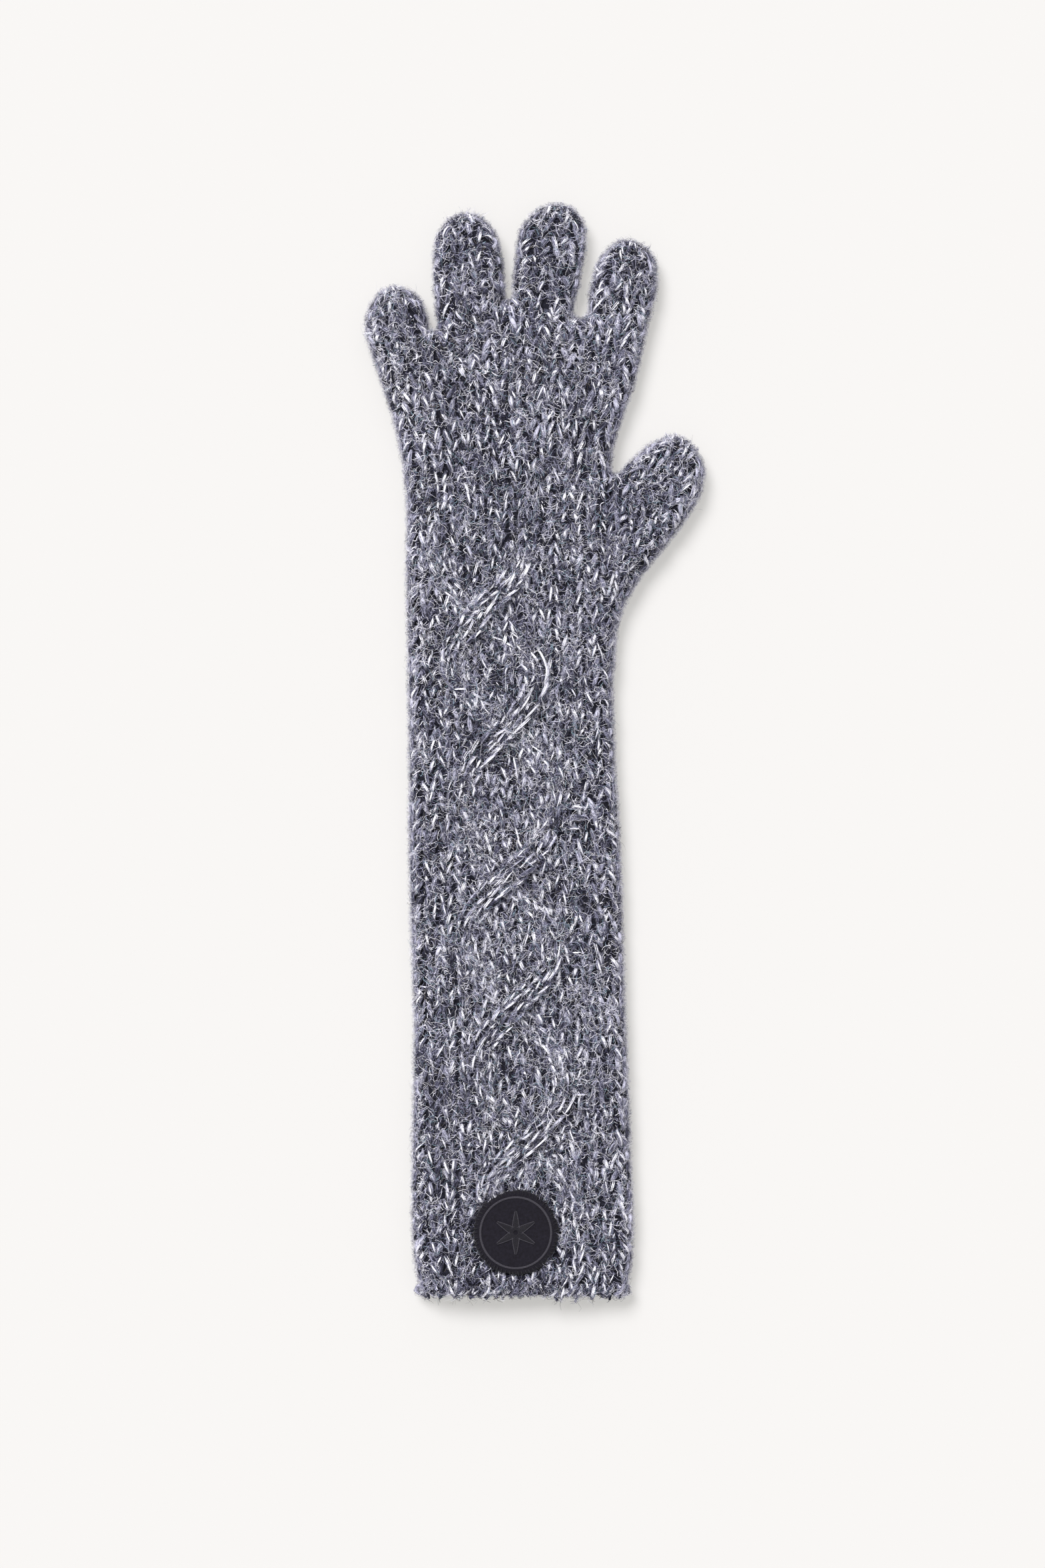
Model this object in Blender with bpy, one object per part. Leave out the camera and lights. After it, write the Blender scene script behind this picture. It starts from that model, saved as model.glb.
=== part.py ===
"""A long knitted glove for the left hand, lying flat on its palm, with the back of the hand up.

The knitted shell is one flattened tube: a forearm cuff, a hand with a thumb gusset, four fingers
and a thumb. It is cut where the soft fabric folds, so each stretch between folds is a solid of its
own. A round felt badge with an embroidered ring and star is sewn on the back of the cuff.

+Z is up, +Y runs from the hem to the fingertips and +X points to the thumb side. The origin is on
the resting surface, under the middle of the glove's outline.
"""

import math

import bmesh
import bpy
from mathutils import Matrix, Vector

MM = 0.001

# Driving dimensions, in millimetres.
LENGTH = 460.0          # hem to tip of the middle finger
THICKNESS = 13.0        # two layers of bulky knit and the hollow between them
WALL = 3.8              # one layer of knit
OUTER_RIM = 5.6         # rounding where the fabric turns over at the sides
INNER_RIM = 2.4         # the same inside the hollow
GAP = 0.3               # clearance between neighbouring solids
HEM_HEIGHT = 4.2        # the cast-on band at the opening
OVERRUN = 12.0          # how far the tube runs past the hem before it is trimmed

HEM_Y = -LENGTH / 2
CUFF_FOLD_Y = -96.0     # where the cuff folds in half
WRIST_Y = 22.0
CUFF_MIDDLE_X = -6.0

# The outline from the hem's left corner, clockwise over the fingers, to its right corner.
CUFF_LEFT = [(-51.4, -212), (-52.2, -172), (-51.4, -120), (-53.4, -50), (-53.6, 10)]
HAND_LEFT = [(-54.6, 70), (-55.6, 116), (-61.2, 142), (-67.4, 161)]
LITTLE_FINGER = [(-71.8, 178), (-69, 188.6), (-59.5, 195.2), (-49.6, 191.8), (-44.7, 183.2)]
LITTLE_RING_WEB = [(-42.8, 176.4)]
RING_FINGER = [(-42.5, 184), (-43.3, 207), (-40, 219.6), (-28.9, 226), (-18, 220.4), (-13.3, 206)]
RING_MIDDLE_WEB = [(-12.1, 195), (-11.1, 189.4), (-10, 195)]
MIDDLE_FINGER = [(-8.9, 207), (-5.4, 221), (7.6, 230), (19.3, 224.8), (21.9, 215), (19.2, 196)]
MIDDLE_INDEX_WEB = [(18.8, 181.8)]
INDEX_FINGER = [(22.3, 193.5), (27.5, 208), (39.2, 215), (50, 207.6), (51.8, 199)]
HAND_RIGHT = [(47, 175), (42.2, 154), (35.4, 134), (32.8, 121.5)]
THUMB_WEB = [(33.2, 116.9)]
THUMB = [(38.4, 121), (48.5, 129.4), (60.3, 132.8), (69.6, 124.2), (71.6, 113.6), (64.4, 98)]
GUSSET = [(53.6, 83.6), (43.6, 70.6), (36.2, 55.6), (33.7, 38)]
CUFF_RIGHT = [(33.8, 4), (36.2, -40), (38.2, -104), (40.4, -164), (41.2, -212)]
HEM_LEFT_X = -48.6
HEM_RIGHT_X = 38.6
OUTLINE_STEPS = 3       # straight steps between two outline points

# The fold lines across the fingers. "lean" turns a finger's axis from +Y towards +X, in degrees.
# "folds" are distances from the origin along that axis, and "across" is how far a fold's slot
# reaches to either side, so that it ends in the space beside the finger.
FINGERS = [
    {"lean": -17, "folds": [186.8], "across": (-20, 11.7), "nodes": ["little_finger"]},
    {"lean": -4, "folds": [193.6, 209], "across": (-31, 2.4), "nodes": ["ring_base", "ring_tip"]},
    {"lean": 5, "folds": [192.2, 209.6], "across": (-28.1, 4), "nodes": ["middle_base", "middle_tip"]},
    {"lean": 13, "folds": [187.2, 201.6], "across": (-23.1, 10), "nodes": ["index_base", "index_tip"]},
    {"lean": 30, "folds": [120.6], "across": (-30, 10), "nodes": ["thumb"]},
]

# The badge, on the back of the cuff.
BADGE_CENTRE = (-8.1, -201.3)
BADGE_RADIUS = 17.6
BADGE_THICKNESS = 1.6
RING_RADIUS = 14.8      # middle of the embroidered ring
RING_THREAD = 0.7       # radius of the ring's section
STAR_TIP_RADIUS = 9.0
STAR_WAIST_RADIUS = 2.6
STAR_ARMS = 6
STAR_THICKNESS = 1.2

KNIT_COLOUR = (0.13, 0.135, 0.17, 1)
FELT_COLOUR = (0.018, 0.017, 0.026, 1)
THREAD_COLOUR = (0.07, 0.065, 0.085, 1)


def clear_scene():
    for scene_object in list(bpy.data.objects):
        bpy.data.objects.remove(scene_object, do_unlink=True)


def new_collection(name):
    collection = bpy.data.collections.new(name)
    bpy.context.scene.collection.children.link(collection)
    return collection


def new_material(name, colour, roughness):
    material = bpy.data.materials.new(name)
    material.use_nodes = True
    shader = material.node_tree.nodes["Principled BSDF"]
    shader.inputs["Base Color"].default_value = colour
    shader.inputs["Roughness"].default_value = roughness
    shader.inputs["Metallic"].default_value = 0.0
    return material


def outline_points():
    """The glove's outline, run on past the hem so that the hem can be trimmed straight."""
    hem_left = [(HEM_LEFT_X, HEM_Y), (HEM_LEFT_X, HEM_Y - OVERRUN)]
    hem_right = [(HEM_RIGHT_X, HEM_Y), (HEM_RIGHT_X, HEM_Y - OVERRUN)]
    fingers = (LITTLE_FINGER + LITTLE_RING_WEB + RING_FINGER + RING_MIDDLE_WEB
               + MIDDLE_FINGER + MIDDLE_INDEX_WEB + INDEX_FINGER)
    thumb = HAND_RIGHT + THUMB_WEB + THUMB + GUSSET
    return hem_left[::-1] + CUFF_LEFT + HAND_LEFT + fingers + thumb + CUFF_RIGHT + hem_right


def slab(name, thickness, rim, inset):
    """A flat closed solid with a rounded rim, centred on the glove's mid-plane."""
    curve = bpy.data.curves.new(name, "CURVE")
    curve.dimensions = "2D"
    curve.fill_mode = "BOTH"
    curve.extrude = (thickness / 2 - rim) * MM
    curve.bevel_depth = rim * MM
    curve.bevel_resolution = 1
    curve.offset = -(inset + rim) * MM
    curve.resolution_u = OUTLINE_STEPS
    points = outline_points()
    spline = curve.splines.new("BEZIER")
    spline.bezier_points.add(len(points) - 1)
    for bezier_point, (x, y) in zip(spline.bezier_points, points):
        bezier_point.co = (x * MM, y * MM, 0)
        bezier_point.handle_left_type = "AUTO"
        bezier_point.handle_right_type = "AUTO"
    spline.use_cyclic_u = True
    return filled_solid(curve, name, THICKNESS / 2)


def filled_solid(curve, name, height):
    """Turns a filled curve into a closed mesh object whose middle is at the given height."""
    guide = bpy.data.objects.new(name + "_curve", curve)
    guide.location.z = height * MM
    bpy.context.scene.collection.objects.link(guide)
    bpy.context.view_layer.update()
    evaluated = guide.evaluated_get(bpy.context.evaluated_depsgraph_get())
    mesh = bpy.data.meshes.new_from_object(evaluated)
    mesh.transform(guide.matrix_world)
    bpy.data.objects.remove(guide)
    weld(mesh)
    return bpy.data.objects.new(name, mesh)


def weld(mesh):
    work = bmesh.new()
    work.from_mesh(mesh)
    bmesh.ops.remove_doubles(work, verts=work.verts, dist=0.01 * MM)
    bmesh.ops.recalc_face_normals(work, faces=work.faces)
    work.to_mesh(mesh)
    work.free()


def add_box(work, size, place):
    """Adds a box of the given size, in millimetres, to a bmesh."""
    scale = Matrix.Diagonal((size[0] * MM, size[1] * MM, size[2] * MM, 1))
    bmesh.ops.create_cube(work, size=1, matrix=place @ scale)


def fold_place(finger, distance, across):
    """The matrix of a point on a finger's fold line, its X along the fold and Y along the finger."""
    turn = Matrix.Rotation(math.radians(-finger["lean"]), 4, "Z")
    point = Vector((across, distance, THICKNESS / 2)) * MM
    return turn @ Matrix.Translation(point)


def make_slots():
    """One cutter with a thin slot at every fold and a block that trims the hem straight."""
    work = bmesh.new()
    reach = 4 * THICKNESS
    wide = LENGTH / 2
    for y in (HEM_Y + HEM_HEIGHT, CUFF_FOLD_Y, WRIST_Y):
        place = Matrix.Translation(Vector((0, y, THICKNESS / 2)) * MM)
        add_box(work, (wide, GAP, reach), place)
    trim = Matrix.Translation(Vector((0, HEM_Y - 2 * OVERRUN, THICKNESS / 2)) * MM)
    add_box(work, (wide, 4 * OVERRUN, reach), trim)
    for finger in FINGERS:
        low, high = finger["across"]
        for distance in finger["folds"]:
            add_box(work, (high - low, GAP, reach), fold_place(finger, distance, (low + high) / 2))
    mesh = bpy.data.meshes.new("fold_slots")
    work.to_mesh(mesh)
    work.free()
    return bpy.data.objects.new("fold_slots", mesh)


def subtract(solid, cutter):
    """Applies a Boolean difference and returns the cut mesh."""
    modifier = solid.modifiers.new("cut_" + cutter.name, "BOOLEAN")
    modifier.operation = "DIFFERENCE"
    modifier.solver = "EXACT"
    modifier.object = cutter
    bpy.context.view_layer.update()
    evaluated = solid.evaluated_get(bpy.context.evaluated_depsgraph_get())
    mesh = bpy.data.meshes.new_from_object(evaluated)
    solid.modifiers.clear()
    solid.data = mesh


def loose_parts(mesh):
    """Splits a mesh into its separate bodies, each a list of vertex indices."""
    neighbours = [[] for _ in mesh.vertices]
    for edge in mesh.edges:
        first, second = edge.vertices
        neighbours[first].append(second)
        neighbours[second].append(first)
    unseen = set(range(len(mesh.vertices)))
    while unseen:
        part = {unseen.pop()}
        front = list(part)
        while front:
            fresh = [index for index in neighbours[front.pop()] if index in unseen]
            unseen.difference_update(fresh)
            part.update(fresh)
            front.extend(fresh)
        yield part


def mesh_of_part(mesh, part, name):
    work = bmesh.new()
    work.from_mesh(mesh)
    others = [vertex for vertex in work.verts if vertex.index not in part]
    bmesh.ops.delete(work, geom=others, context="VERTS")
    result = bpy.data.meshes.new(name)
    work.to_mesh(result)
    work.free()
    return result


def fold_lines():
    """Each moving node's fold line: a point on the back of the glove and the fold's direction."""
    lines = {}
    for name, y in (("cuff_upper", CUFF_FOLD_Y), ("hand", WRIST_Y)):
        lines[name] = (Vector((CUFF_MIDDLE_X, y, THICKNESS)) * MM, 0.0)
    for finger in FINGERS:
        middle = sum(finger["across"]) / 2
        for node, distance in zip(finger["nodes"], finger["folds"]):
            point = fold_place(finger, distance, middle).translation
            point.z = THICKNESS * MM
            lines[node] = (point, math.radians(-finger["lean"]))
    return lines


def node_centres():
    """A point inside each knitted node's outline, which tells the cut bodies apart."""
    centres = {
        "hem_band": Vector((CUFF_MIDDLE_X, HEM_Y + HEM_HEIGHT / 2)),
        "cuff_lower": Vector((CUFF_MIDDLE_X, (HEM_Y + CUFF_FOLD_Y) / 2)),
        "cuff_upper": Vector((CUFF_MIDDLE_X, (CUFF_FOLD_Y + WRIST_Y) / 2)),
        "hand": Vector((0, (WRIST_Y + FINGERS[1]["folds"][0]) / 2)),
    }
    for finger in FINGERS:
        middle = sum(finger["across"]) / 2
        steps = finger["folds"] + [finger["folds"][-1] + 2 * THICKNESS]
        for node, start, end in zip(finger["nodes"], steps, steps[1:]):
            centre = fold_place(finger, (start + end) / 2, middle).translation
            centres[node] = centre.to_2d() / MM
    return centres


def make_knit(collection, cutters):
    """The hollow knitted shell, cut into one solid for each stretch between folds."""
    shell = slab("knit_shell", THICKNESS, OUTER_RIM, 0)
    hollow = slab("hollow", THICKNESS - 2 * WALL, INNER_RIM, WALL)
    slots = make_slots()
    bpy.context.scene.collection.objects.link(shell)
    for cutter in (hollow, slots):
        cutter.hide_render = True
        cutter.display_type = "WIRE"
        cutters.objects.link(cutter)
        subtract(shell, cutter)
    centres = node_centres()
    lines = fold_lines()
    for part in loose_parts(shell.data):
        corners = [shell.data.vertices[index].co for index in part]
        middle = Vector([(min(c[i] for c in corners) + max(c[i] for c in corners)) / 2 for i in (0, 1)])
        name = min(centres, key=lambda node: (centres[node] - middle / MM).length)
        del centres[name]
        add_node(collection, name, mesh_of_part(shell.data, part, name), lines.get(name))
    bpy.data.objects.remove(shell)


def add_node(collection, name, mesh, line):
    """Links a knitted solid, with its origin on its own fold line where it has one."""
    node = bpy.data.objects.new(name, mesh)
    if line:
        point, turn = line
        node.location = point
        node.rotation_euler.z = turn
        mesh.transform(Matrix.LocRotScale(point, node.rotation_euler, None).inverted())
    mesh.materials.clear()
    mesh.materials.append(new_material(name + "_knit", KNIT_COLOUR, 0.95))
    mesh.shade_smooth()
    mesh.set_sharp_from_angle(angle=math.radians(40))
    collection.objects.link(node)


def make_badge_felt(collection):
    bpy.ops.mesh.primitive_cylinder_add(
        vertices=48,
        radius=BADGE_RADIUS * MM,
        depth=BADGE_THICKNESS * MM,
        location=badge_point(GAP + BADGE_THICKNESS / 2),
    )
    finish_trim(collection, "badge_felt", new_material("felt", FELT_COLOUR, 0.95))


def make_badge_ring(collection):
    bpy.ops.mesh.primitive_torus_add(
        major_segments=40,
        minor_segments=8,
        major_radius=RING_RADIUS * MM,
        minor_radius=RING_THREAD * MM,
        location=badge_point(2 * GAP + BADGE_THICKNESS + RING_THREAD),
    )
    finish_trim(collection, "badge_ring", new_material("ring_thread", THREAD_COLOUR, 0.6))


def make_badge_star(collection):
    """A plain star with thin arms, standing for one motif in raised satin stitch."""
    curve = bpy.data.curves.new("badge_star", "CURVE")
    curve.dimensions = "2D"
    curve.fill_mode = "BOTH"
    curve.extrude = STAR_THICKNESS / 2 * MM
    spline = curve.splines.new("POLY")
    spline.points.add(2 * STAR_ARMS - 1)
    for index, point in enumerate(spline.points):
        angle = math.pi / 2 + math.pi * index / STAR_ARMS
        radius = STAR_WAIST_RADIUS if index % 2 else STAR_TIP_RADIUS
        point.co = (radius * math.cos(angle) * MM, radius * math.sin(angle) * MM, 0, 1)
    spline.use_cyclic_u = True
    star = filled_solid(curve, "badge_star", 0)
    star.location = badge_point(2 * GAP + BADGE_THICKNESS + STAR_THICKNESS / 2)
    star.data.materials.append(new_material("star_thread", THREAD_COLOUR, 0.6))
    collection.objects.link(star)


def badge_point(height):
    """A point over the badge's centre, at a height above the back of the cuff."""
    return Vector((*BADGE_CENTRE, THICKNESS + height)) * MM


def finish_trim(collection, name, material):
    """Names the primitive just added and moves it into the glove's collection."""
    trim = bpy.context.active_object
    trim.name = name
    trim.data.name = name
    trim.data.materials.append(material)
    trim.data.shade_smooth()
    trim.data.set_sharp_from_angle(angle=math.radians(40))
    for owner in list(trim.users_collection):
        owner.objects.unlink(trim)
    collection.objects.link(trim)


def main():
    clear_scene()
    glove = new_collection("knitted_glove")
    cutters = new_collection("cutters")
    make_knit(glove, cutters)
    make_badge_felt(glove)
    make_badge_ring(glove)
    make_badge_star(glove)


main()
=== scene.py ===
import math

import bpy
import numpy as np
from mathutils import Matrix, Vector
from mathutils.geometry import delaunay_2d_cdt


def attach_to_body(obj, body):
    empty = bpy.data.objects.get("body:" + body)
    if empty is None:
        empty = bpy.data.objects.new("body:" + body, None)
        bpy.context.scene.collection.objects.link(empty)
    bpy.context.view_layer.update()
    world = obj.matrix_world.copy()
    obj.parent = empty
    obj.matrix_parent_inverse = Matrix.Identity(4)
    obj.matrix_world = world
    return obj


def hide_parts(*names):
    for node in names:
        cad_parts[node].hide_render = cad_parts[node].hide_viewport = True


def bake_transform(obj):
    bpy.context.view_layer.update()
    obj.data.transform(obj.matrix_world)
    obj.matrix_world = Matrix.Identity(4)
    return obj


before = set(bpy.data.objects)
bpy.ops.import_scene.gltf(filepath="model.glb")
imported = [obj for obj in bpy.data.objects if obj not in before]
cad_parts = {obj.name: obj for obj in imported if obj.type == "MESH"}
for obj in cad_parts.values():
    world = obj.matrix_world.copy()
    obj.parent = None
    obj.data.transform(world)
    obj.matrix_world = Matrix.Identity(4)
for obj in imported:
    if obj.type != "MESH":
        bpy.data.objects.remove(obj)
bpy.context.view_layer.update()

MM = 0.001
RNG = np.random.default_rng(20)

# ==== The glove's outline and folds, in millimetres, as the CAD model has them.
HEM_Y = -230.0
OVERRUN = 12.0
CORE_END_Y = -227.6
CUFF_LEFT = [(-51.4, -212), (-52.2, -172), (-51.4, -120), (-53.4, -50), (-53.6, 10)]
HAND_LEFT = [(-54.6, 70), (-55.6, 116), (-61.2, 142), (-67.4, 161)]
FINGERTIPS = [
    (-71.8, 178), (-69, 188.6), (-59.5, 195.2), (-49.6, 191.8), (-44.7, 183.2), (-42.8, 176.4),
    (-42.5, 184), (-43.3, 207), (-40, 219.6), (-28.9, 226), (-18, 220.4), (-13.3, 206),
    (-12.1, 195), (-11.1, 189.4), (-10, 195),
    (-8.9, 207), (-5.4, 221), (7.6, 230), (19.3, 224.8), (21.9, 215), (19.2, 196), (18.8, 181.8),
    (22.3, 193.5), (27.5, 208), (39.2, 215), (50, 207.6), (51.8, 199),
]
HAND_RIGHT = [(47, 175), (42.2, 154), (35.4, 134), (32.8, 121.5)]
THUMB_WEB = [(33.2, 116.9)]
THUMB = [(38.4, 121), (48.5, 129.4), (60.3, 132.8), (69.6, 124.2), (71.6, 113.6), (64.4, 98)]
GUSSET = [(53.6, 83.6), (43.6, 70.6), (36.2, 55.6), (33.7, 38)]
CUFF_RIGHT = [(33.8, 4), (36.2, -40), (38.2, -104), (40.4, -164), (41.2, -212)]
HEM_LEFT_X = -48.6
HEM_RIGHT_X = 38.6

PIECE_LEAD = 9.0        # a finger's piece starts this far before its fold
PIECE_HALF = 17.5       # and reaches at most this far to either side of its middle line
LOWER_END_Y = -37.0     # middle of the upper cuff, where the two cuff pieces meet
UPPER_END_Y = 85.0      # middle of the hand, where the cuff's and the hand's pieces meet

# A finger: lean from +Y towards +X, its middle line, its folds along its axis, and its bodies.
FINGERS = [
    {"name": "little", "lean": -17, "middle": -4.2, "folds": [186.8], "tip": 204,
     "bodies": ["little"], "nodes": ["little_finger"]},
    {"name": "ring", "lean": -4, "middle": -14.3, "folds": [193.6, 209], "tip": 228,
     "bodies": ["ring", "ring_end"], "nodes": ["ring_base", "ring_tip"]},
    {"name": "middle", "lean": 5, "middle": -12.0, "folds": [192.2, 209.6], "tip": 230,
     "bodies": ["middle", "middle_end"], "nodes": ["middle_base", "middle_tip"]},
    {"name": "index", "lean": 13, "middle": -7.2, "folds": [187.2, 201.6], "tip": 219,
     "bodies": ["index", "index_end"], "nodes": ["index_base", "index_tip"]},
    {"name": "thumb", "lean": 30, "middle": -10.6, "folds": [120.6], "tip": 146,
     "bodies": ["thumb_end"], "nodes": ["thumb"]},
]

# Where each finger's columns of stitches leave the hand: the left and right ends of its first rows.
ROOT_Y = 150
FINGER_ROOTS = {
    "little": [((-64.2, ROOT_Y), (-38.6, ROOT_Y)), ((-70.8, 174), (-42.8, 176.4))],
    "ring": [((-38.6, ROOT_Y), (-11.6, ROOT_Y)), ((-42.8, 176.4), (-11.1, 189.4))],
    "middle": [((-11.6, ROOT_Y), (15.8, ROOT_Y)), ((-11.1, 189.4), (18.8, 181.8))],
    "index": [((15.8, ROOT_Y), (40.8, ROOT_Y)), ((18.8, 181.8), (48.6, 181))],
    "thumb": [((30.5, 34), (34.2, 34)), ((32, 60), (37.8, 58)), ((32.6, 85), (51.5, 80)),
              ((33, 105), (62.5, 95)), ((33.2, 116.9), (66.5, 101))],
}

# ==== The fabric.
MIDDLE_Z = 6.5          # height of the plane between the two layers
INSET = 2.6             # the yarn reaches this far outside the ground it is laid on
RIM = 5.0               # depth over which the ground turns over at the sides
TOP_CORE = 4.7          # half thickness under the yarn, on the back of the hand
UNDER_CORE = 4.5        # the same on the palm side, which the table flattens
CROWN = 0.9             # how much the back swells towards its middle
CROWN_RUN = 14.0        # depth over which most of that swelling comes
SWELL_HEIGHT = 0.16     # of each of the slow waves that make the fabric uneven
SWELL_RATE = 0.16       # the most radians to the millimetre in one of them
FLOOR_CLEAR = 0.06      # nothing lies lower than this over the floor
YARN_CLEAR = 0.45       # and no yarn lower than this, because it lies on its own fuzz
COLUMN = 6.5            # width of one column of stitches
ROW = 4.3               # height of one row
FINGER_ROW = 3.8        # the same on the fingers, whose stitches are shorter
MOST_COLUMNS = 20       # more than any row has
HAND_COLUMNS = 14
FINGER_COLUMNS = 4
FINGER_REACH = 24       # the outline is looked for this far to either side of a finger's middle line
CHORD_STEP = 3.0        # distance between the rows that give a finger its shape
LEAST_CHORD = 5         # they stop near the tip, where they get shorter than this
SPLAY = (0.09, 0.37)    # a leg's foot and head lie this far from its column's middle, in columns
LEG_REACH = 1.42        # length of a leg, in rows
LEG_SINK = 0.35         # a leg's ends lie this deep in the ground
LEG_RISE = 1.25         # and its middle rises this far from them
RIM_REACH = 1.4         # length of a leg in the column round the rim, in rows
LEG_RADIUS = 1.15
YARN_SIDES = 6          # corners round a leg on the back
UNDER_SIDES = 5         # and on the palm side
TOP_STEPS = 6           # points along a leg on the back
UNDER_STEPS = 5         # and on the palm side
GROUND_GRID = 2.6       # distance between the ground's points
GROUND_RINGS = (0.3, 1.0, 2.2)  # depths of the rings of points inside its rim
GROUND_THICKNESS = 1.3
TILE_MARGIN = 0.12      # empty border round each stitch's patch of the texture sheet
SHEET_SHARE = 0.9       # share of the texture sheet's height that the stitches take

# The cable: heights and middles of its crossings, from the hem up.
CROSSINGS = [(-162, -2.5), (-107, -9), (-53.5, -12.5), (10, -11), (58, -23)]
CABLE_START_Y = -206.0
CABLE_END_Y = 82.0
CABLE_SWING = 18.5      # how far a strand swings to either side of the cable's middle
CROSSING_REACH = 18.0   # height over which it swings from its middle to one side
STRAND_WIDTH = 10.6
STRAND_COLUMNS = 2
STRAND_SPLAY = (0.16, 0.34)
STRAND_ROW = 5.4        # its stitches are pulled longer than the rest
STRAND_RAISE = 1.3
CROSSING_RAISE = 2.0

# Middle and length of each purl bar beside the cable.
PURL_BARS = [(17, -26, 7), (16, -31, 5), (17.5, -83, 7.5), (18.5, -88, 5), (19, -142, 7), (-31, 27, 6)]
PURL_APART = 3.2        # a bar is two stitches, this far apart
PURL_LIFT = 2.0
PURL_RADIUS = 0.95

CREASE_X = 33.2         # the crease between the thumb's root and the hand
CREASE_Y = (102.0, 116.0)
CREASE_DEPTH = 2.6
CREASE_REACH = 3.2

HEM_LOOP = 4.9          # the edge loops are laid this far above the hem and reach down to it
HEM_PITCH = 3.3         # distance from one edge loop to the next
HEM_SLANT = 4.6         # how far a loop runs along the edge
HEM_LIFT = 1.6          # how far it stands off the lip
HEM_STEPS = 7
HEM_RADIUS = 1.25

BADGE_CENTRE = (-8.1, -201.3)
BADGE_RADIUS = 17.6
BADGE_DENT = 1.7        # how deep the badge presses into the fuzz
DENT_EDGE = 4.0         # width of the dent's slope

FIBRES = 36000          # of the commonest kind; the other kinds are shares of this number
FIBRE_POINTS = 7
END_DARKNESS = 1.3      # how much darker the glove's two ends are, in the blotches' own measure
DARK_TIPS_Y = 188       # the fingertips darken from this height up
DARK_TIPS_FADE = 20
DARK_CUFF_Y = -168      # and the badge's end from this one down
DARK_CUFF_FADE = 25
FIBRE_RIM_PAINTED_LIGHT = 0.32     # painted light: how much paler the loose fibres are picked at the sides, where the rim turns from the lamp
YARN_RIM_PAINTED_LIGHT = 0.09        # and painted light: how much paler the yarn is made there, where the rim turns from the lamp
RIM_FADE = 9.0          # depth over which this fades
SHADE_SPREAD = 0.07     # how much the shades of stitches differ
SHADE_BLOTCHES = 0.022  # how much the blotches change them
FUZZ_BLOTCHES = 0.035   # and how much they change the fibres' shades
PALE_LEGS = (0.12, 0.18)        # share of the legs that are paler than the rest, and by how much
DARK_LEGS = (0.25, 0.16)        # the same for the darker ones
FLECK_STRANDS = 5       # ribbons in one tuft
FLECK_POINTS = 5
TOP_FLECKS = 0.42       # share of the stitches with a tuft: on the back,
UNDER_FLECKS = 0.25     # on the palm side,
RIM_FLECKS = 0.2        # round the rim,
HEM_FLECKS = 0.5        # at the hem,
PURL_FLECKS = 0.38      # on the purl bars,
CABLE_FLECKS = (0.42, 0.38)     # and on the cable: anywhere, and added where a strand runs on top

GRID_X = (-90.0, 90.0)
GRID_Y = (-252.0, 242.0)
GRID_STEP = 1.0


# ==== Small tools.
def add_object(name, data):
    made = bpy.data.objects.new(name, data)
    bpy.context.scene.collection.objects.link(made)
    return made


def worked_out(thing):
    """The mesh of an object as its curve or its modifier makes it. The object is removed."""
    bpy.context.view_layer.update()
    mesh = bpy.data.meshes.new_from_object(thing.evaluated_get(bpy.context.evaluated_depsgraph_get()))
    bpy.data.objects.remove(thing)
    return mesh


def smoothstep(value):
    value = np.clip(value, 0, 1)
    return value * value * (3 - 2 * value)


def taper(t, ends, trim=0.08, power=1):
    """Thickness along a strand: nearly a given share at its ends, and 1 at its middle."""
    return ends + (1 - ends) * np.sin(math.pi * (trim + (1 - 2 * trim) * t)) ** power


def unit(vectors):
    return vectors / np.maximum(np.linalg.norm(vectors, axis=-1, keepdims=True), 1e-9)


def lengths_along(run):
    """How far along a run of points each of them lies."""
    return np.concatenate([[0], np.cumsum(np.linalg.norm(np.diff(run, axis=0), axis=1))])


def slopes(height, x, y, step):
    """How steeply a function of the plan rises towards +X and towards +Y."""
    return [(height(x + dx, y + dy) - height(x - dx, y - dy)) / (2 * step)
            for dx, dy in ((step, 0), (0, step))]


# ==== Plan: the outline and the depth of any point inside it.
def outline_points():
    hem_left = [(HEM_LEFT_X, HEM_Y - OVERRUN), (HEM_LEFT_X, HEM_Y)]
    hem_right = [(HEM_RIGHT_X, HEM_Y), (HEM_RIGHT_X, HEM_Y - OVERRUN)]
    left, right = CUFF_LEFT + HAND_LEFT, HAND_RIGHT + THUMB_WEB + THUMB + GUSSET + CUFF_RIGHT
    return hem_left + left + FINGERTIPS + right + hem_right


def smooth_outline():
    """The outline as a closed run of points on a smooth curve through the chosen ones."""
    curve = bpy.data.curves.new("outline", "CURVE")
    curve.dimensions = "2D"
    curve.fill_mode = "NONE"
    curve.resolution_u = 6
    points = outline_points()
    spline = curve.splines.new("BEZIER")
    spline.bezier_points.add(len(points) - 1)
    for bezier_point, (x, y) in zip(spline.bezier_points, points):
        bezier_point.co = (x, y, 0)
        bezier_point.handle_left_type = "AUTO"
        bezier_point.handle_right_type = "AUTO"
    spline.use_cyclic_u = True
    mesh = worked_out(add_object("outline", curve))
    run = np.array([vertex.co[:2] for vertex in mesh.vertices])
    bpy.data.curves.remove(curve)
    bpy.data.meshes.remove(mesh)
    return run


def grid_points():
    return np.meshgrid(np.arange(*GRID_X, GRID_STEP), np.arange(*GRID_Y, GRID_STEP))


def read_grid(values, gx, gy, ease=lambda share: share):
    """Values between a grid's points, at places counted in its steps."""
    ix, iy = gx.astype(int), gy.astype(int)
    fx, fy = ease(gx - ix), ease(gy - iy)
    low = values[iy, ix] * (1 - fx) + values[iy, ix + 1] * fx
    high = values[iy + 1, ix] * (1 - fx) + values[iy + 1, ix + 1] * fx
    return low * (1 - fy) + high * fy


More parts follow.
